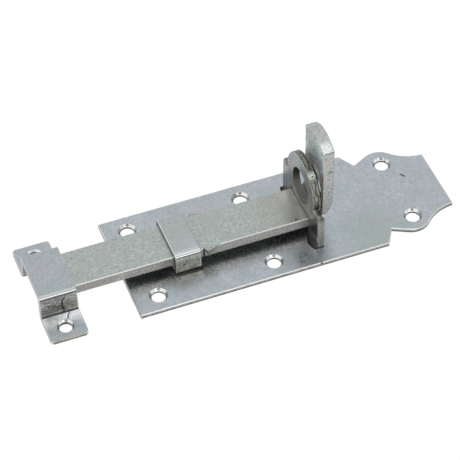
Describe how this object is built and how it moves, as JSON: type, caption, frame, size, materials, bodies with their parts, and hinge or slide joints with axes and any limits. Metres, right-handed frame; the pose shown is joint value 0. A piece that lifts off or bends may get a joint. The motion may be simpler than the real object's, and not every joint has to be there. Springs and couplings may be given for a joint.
{
  "type": "padbolt",
  "caption": "Surface padbolt: a flat bolt sliding on a stamped base plate with a padlock eye, and its separate hat-shaped keeper.",
  "frame": {"origin": "centre of the base plate's four main screw holes, on the plate's back face", "axes": "+Z away from the door, +X along the bolt in the direction it is drawn back, -X towards the keeper, Y across the plate"},
  "size_m": [0.1772, 0.0531, 0.0473],
  "materials": {
    "zinc_sheet": "bright zinc plate on stamped sheet, bluish grey, semi-matte",
    "zinc_guide": "bright zinc plate with drag marks on the bent legs",
    "zinc_bracket": "zinc plate on stamped steel, rough sheared rims",
    "zinc_bar": "zinc plate on flat bar, slightly greenish grey, sheared edges",
    "zinc_keeper": "bright zinc plate on bent strip, bluish grey",
    "rivet_steel": "zinc plated rivets with flush heads"
  },
  "bodies": {
    "fixed_plate": {"base_plate": "zinc_sheet", "guide_loop": "zinc_guide", "guide_rivet_front": "rivet_steel", "guide_rivet_back": "rivet_steel", "padlock_bracket": "zinc_bracket", "keeper": "zinc_keeper"},
    "sliding_bolt": {"bolt": "zinc_bar"}
  },
  "joints": [
    {"name": "bolt_slide", "type": "slide", "parent": "fixed_plate", "child": "sliding_bolt", "axis": [1, 0, 0], "range_m": [-0.001, 0.04]}
  ]
}
